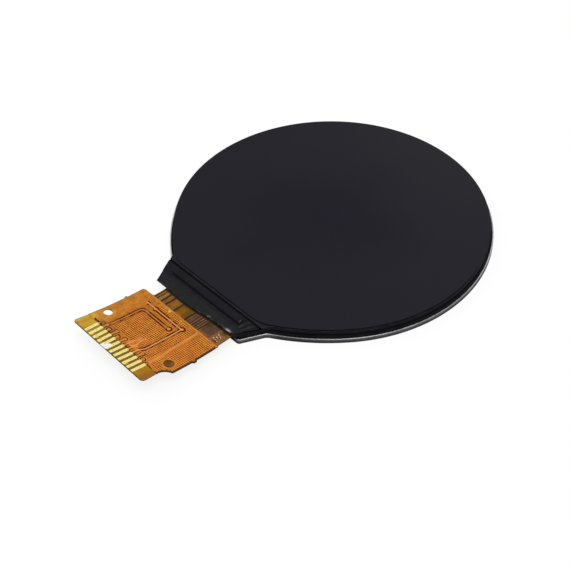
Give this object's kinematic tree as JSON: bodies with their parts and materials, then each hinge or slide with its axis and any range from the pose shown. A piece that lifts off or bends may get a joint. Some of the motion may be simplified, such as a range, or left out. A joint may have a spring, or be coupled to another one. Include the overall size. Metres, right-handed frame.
{
  "type": "tft display module",
  "caption": "Small round colour display panel in a shallow steel backlight case, with a flat chin and a short orange flex tail that ends in solder contacts.",
  "frame": {"origin": "centre of the round panel, on the back face of the steel case", "axes": "+Z out of the screen, -Y from the disc's centre to the chin and the flex tail, +X to the right of a viewer who has the tail below the screen"},
  "size_m": [0.0356, 0.049, 0.0027],
  "materials": {
    "case_steel": "satin pressed stainless steel",
    "frame_plastic": "black moulded, fine matt",
    "reflector_white": "white film",
    "guide_clear": "clear moulded plate",
    "diffuser_white": "milky film",
    "prism_clear": "fine ribbed clear film",
    "flex_amber": "amber polyimide, satin",
    "lamp_white": "white moulded lamp body",
    "tape_black": "black tape, low sheen",
    "polariser_dark": "near black film, soft sheen",
    "panel_glass": "glass over a black border print",
    "chip_silicon": "ground silicon",
    "sealant_black": "soft dull filling",
    "base_film": "amber polyimide, olive over the bare tip",
    "copper": "copper under film",
    "contact_gold": "thin gold plating, satin",
    "solder": "dull tin solder",
    "capacitor_body": "fired ceramic with tinned ends"
  },
  "bodies": {
    "root": {"back_frame": "case_steel", "backlight_flex": "flex_amber", "backlight_solder_1": "solder", "backlight_solder_2": "solder", "backlight_solder_3": "solder", "capacitor_1": "capacitor_body", "capacitor_2": "capacitor_body", "capacitor_3": "capacitor_body", "capacitor_4": "capacitor_body", "capacitor_solder": "solder", "contact_01": "contact_gold", "contact_02": "contact_gold", "contact_03": "contact_gold", "contact_04": "contact_gold", "contact_05": "contact_gold", "contact_06": "contact_gold", "contact_07": "contact_gold", "contact_08": "contact_gold", "contact_09": "contact_gold", "contact_10": "contact_gold", "contact_11": "contact_gold", "contact_12": "contact_gold", "diffuser_film": "diffuser_white", "driver_chip": "chip_silicon", "front_glass": "panel_glass", "front_polarizer": "polariser_dark", "led_left": "lamp_white", "led_middle": "lamp_white", "led_right": "lamp_white", "ledge_cover_tape": "tape_black", "ledge_sealant": "sealant_black", "light_guide": "guide_clear", "lower_prism_film": "prism_clear", "mould_frame": "frame_plastic", "rear_glass": "panel_glass", "rear_polarizer": "polariser_dark", "reflector_film": "reflector_white", "rim_tape": "tape_black", "tail_back_coverlay": "flex_amber", "tail_back_leads": "copper", "tail_base_film": "base_film", "tail_front_coverlay": "flex_amber", "tail_ground_plane": "copper", "tail_trace_inner": "copper", "tail_trace_outer": "copper", "upper_prism_film": "prism_clear"}
  },
  "joints": []
}
